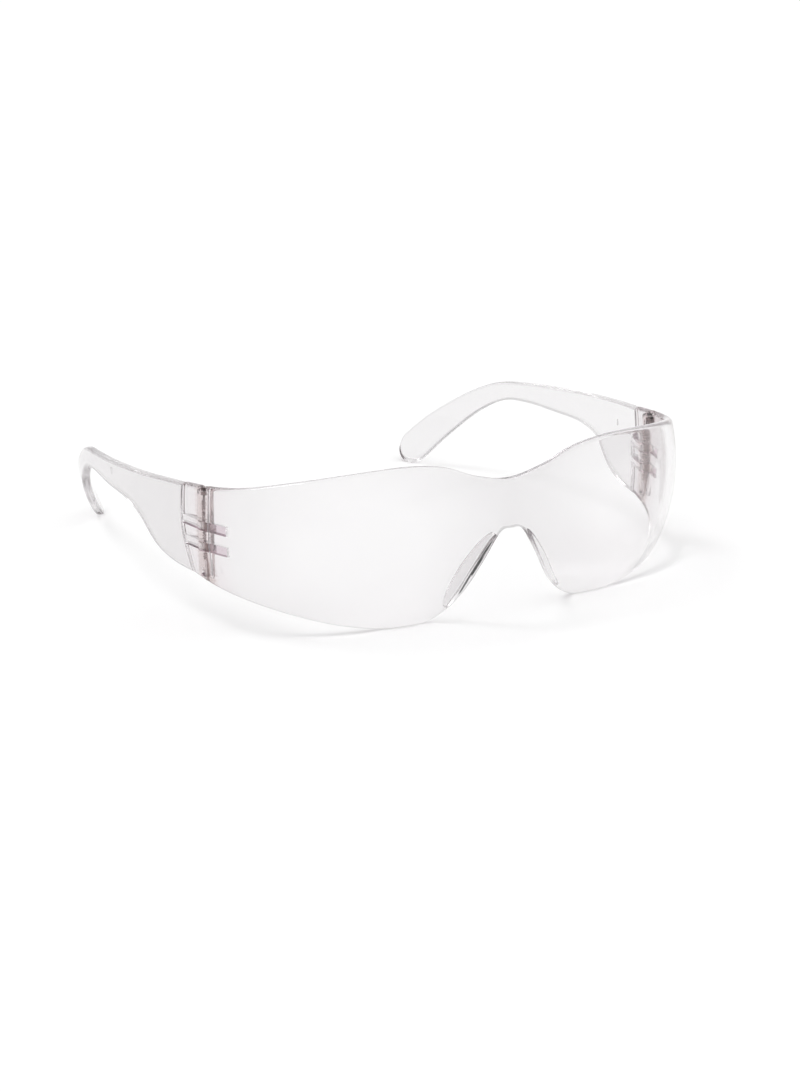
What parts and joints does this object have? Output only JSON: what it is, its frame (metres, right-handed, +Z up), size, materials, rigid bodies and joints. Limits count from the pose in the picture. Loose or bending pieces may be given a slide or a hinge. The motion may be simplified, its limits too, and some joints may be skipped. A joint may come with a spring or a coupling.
{
  "type": "safety glasses",
  "caption": "Clear wraparound safety glasses: one moulded lens with nose bridge and pads, and two folding temples on screwed hinges.",
  "frame": {"origin": "on the table, under the middle of the open glasses", "axes": "+X towards the wearer's left, +Y from the lens front back towards the temple tips, +Z up"},
  "size_m": [0.1456, 0.1464, 0.0436],
  "materials": {
    "clear_polycarbonate": "polished",
    "screw_steel": "satin"
  },
  "bodies": {
    "lens_body": {"lens": "clear_polycarbonate", "hinge_screw_left": "screw_steel", "hinge_screw_right": "screw_steel"},
    "temple_left": {"temple_left": "clear_polycarbonate"},
    "temple_right": {"temple_right": "clear_polycarbonate"}
  },
  "joints": [
    {"name": "temple_left_hinge", "type": "hinge", "parent": "lens_body", "child": "temple_left", "pos_m": [0.068, -0.03366, 0.0232], "axis": [0, 0, 1], "range_deg": [0, 90]},
    {"name": "temple_right_hinge", "type": "hinge", "parent": "lens_body", "child": "temple_right", "pos_m": [-0.068, -0.03366, 0.0232], "axis": [0, 0, 1], "range_deg": [-80, 0]}
  ]
}
